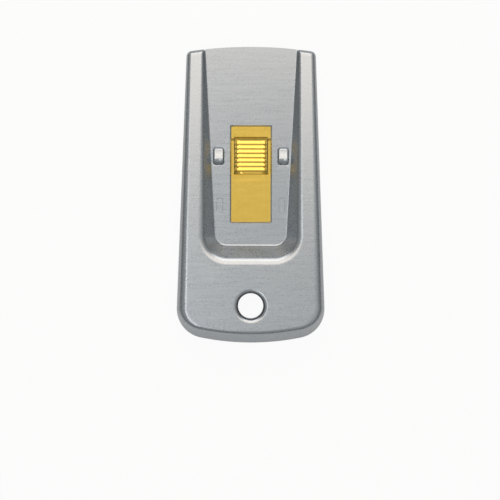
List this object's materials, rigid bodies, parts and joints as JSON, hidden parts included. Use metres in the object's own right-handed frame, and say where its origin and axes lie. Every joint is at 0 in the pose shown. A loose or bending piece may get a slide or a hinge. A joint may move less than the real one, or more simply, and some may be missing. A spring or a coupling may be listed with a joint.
{
  "type": "razor blade scraper",
  "caption": "Flat wedge-shaped stamped-steel hand scraper with a sunken panel, a ribbed thumb slide in a window, a retracting single-edge blade and a hang hole.",
  "frame": {"origin": "bottom centre of the part's box, on the plane that its back lies on", "axes": "+Y towards the blade mouth, +Z out of the front face"},
  "size_m": [0.05, 0.1, 0.0106],
  "materials": {
    "plated_steel": "satin plated sheet steel, finely brushed",
    "brass_plate": "bright brass plate",
    "spring_steel": "tempered, dull",
    "blade_steel": "ground and polished",
    "spine_steel": "rolled, plain"
  },
  "bodies": {
    "case": {"front_shell": "plated_steel", "back_plate": "plated_steel"},
    "slide": {"thumb_slide": "brass_plate", "detent_spring": "spring_steel", "spring_rivet": "brass_plate", "blade_clip": "spring_steel", "clip_rivets": "brass_plate"},
    "blade": {"razor_blade": "blade_steel", "blade_spine": "spine_steel"}
  },
  "joints": [
    {"name": "slide_travel", "type": "slide", "parent": "case", "child": "slide", "axis": [0, 1, 0], "range_m": [-0.0124, 0.0034], "deforming": ["detent_spring"]},
    {"name": "blade_pull", "type": "slide", "parent": "slide", "child": "blade", "axis": [0, 1, 0], "range_m": [0, 0.025], "deforming": ["blade_clip"]}
  ]
}
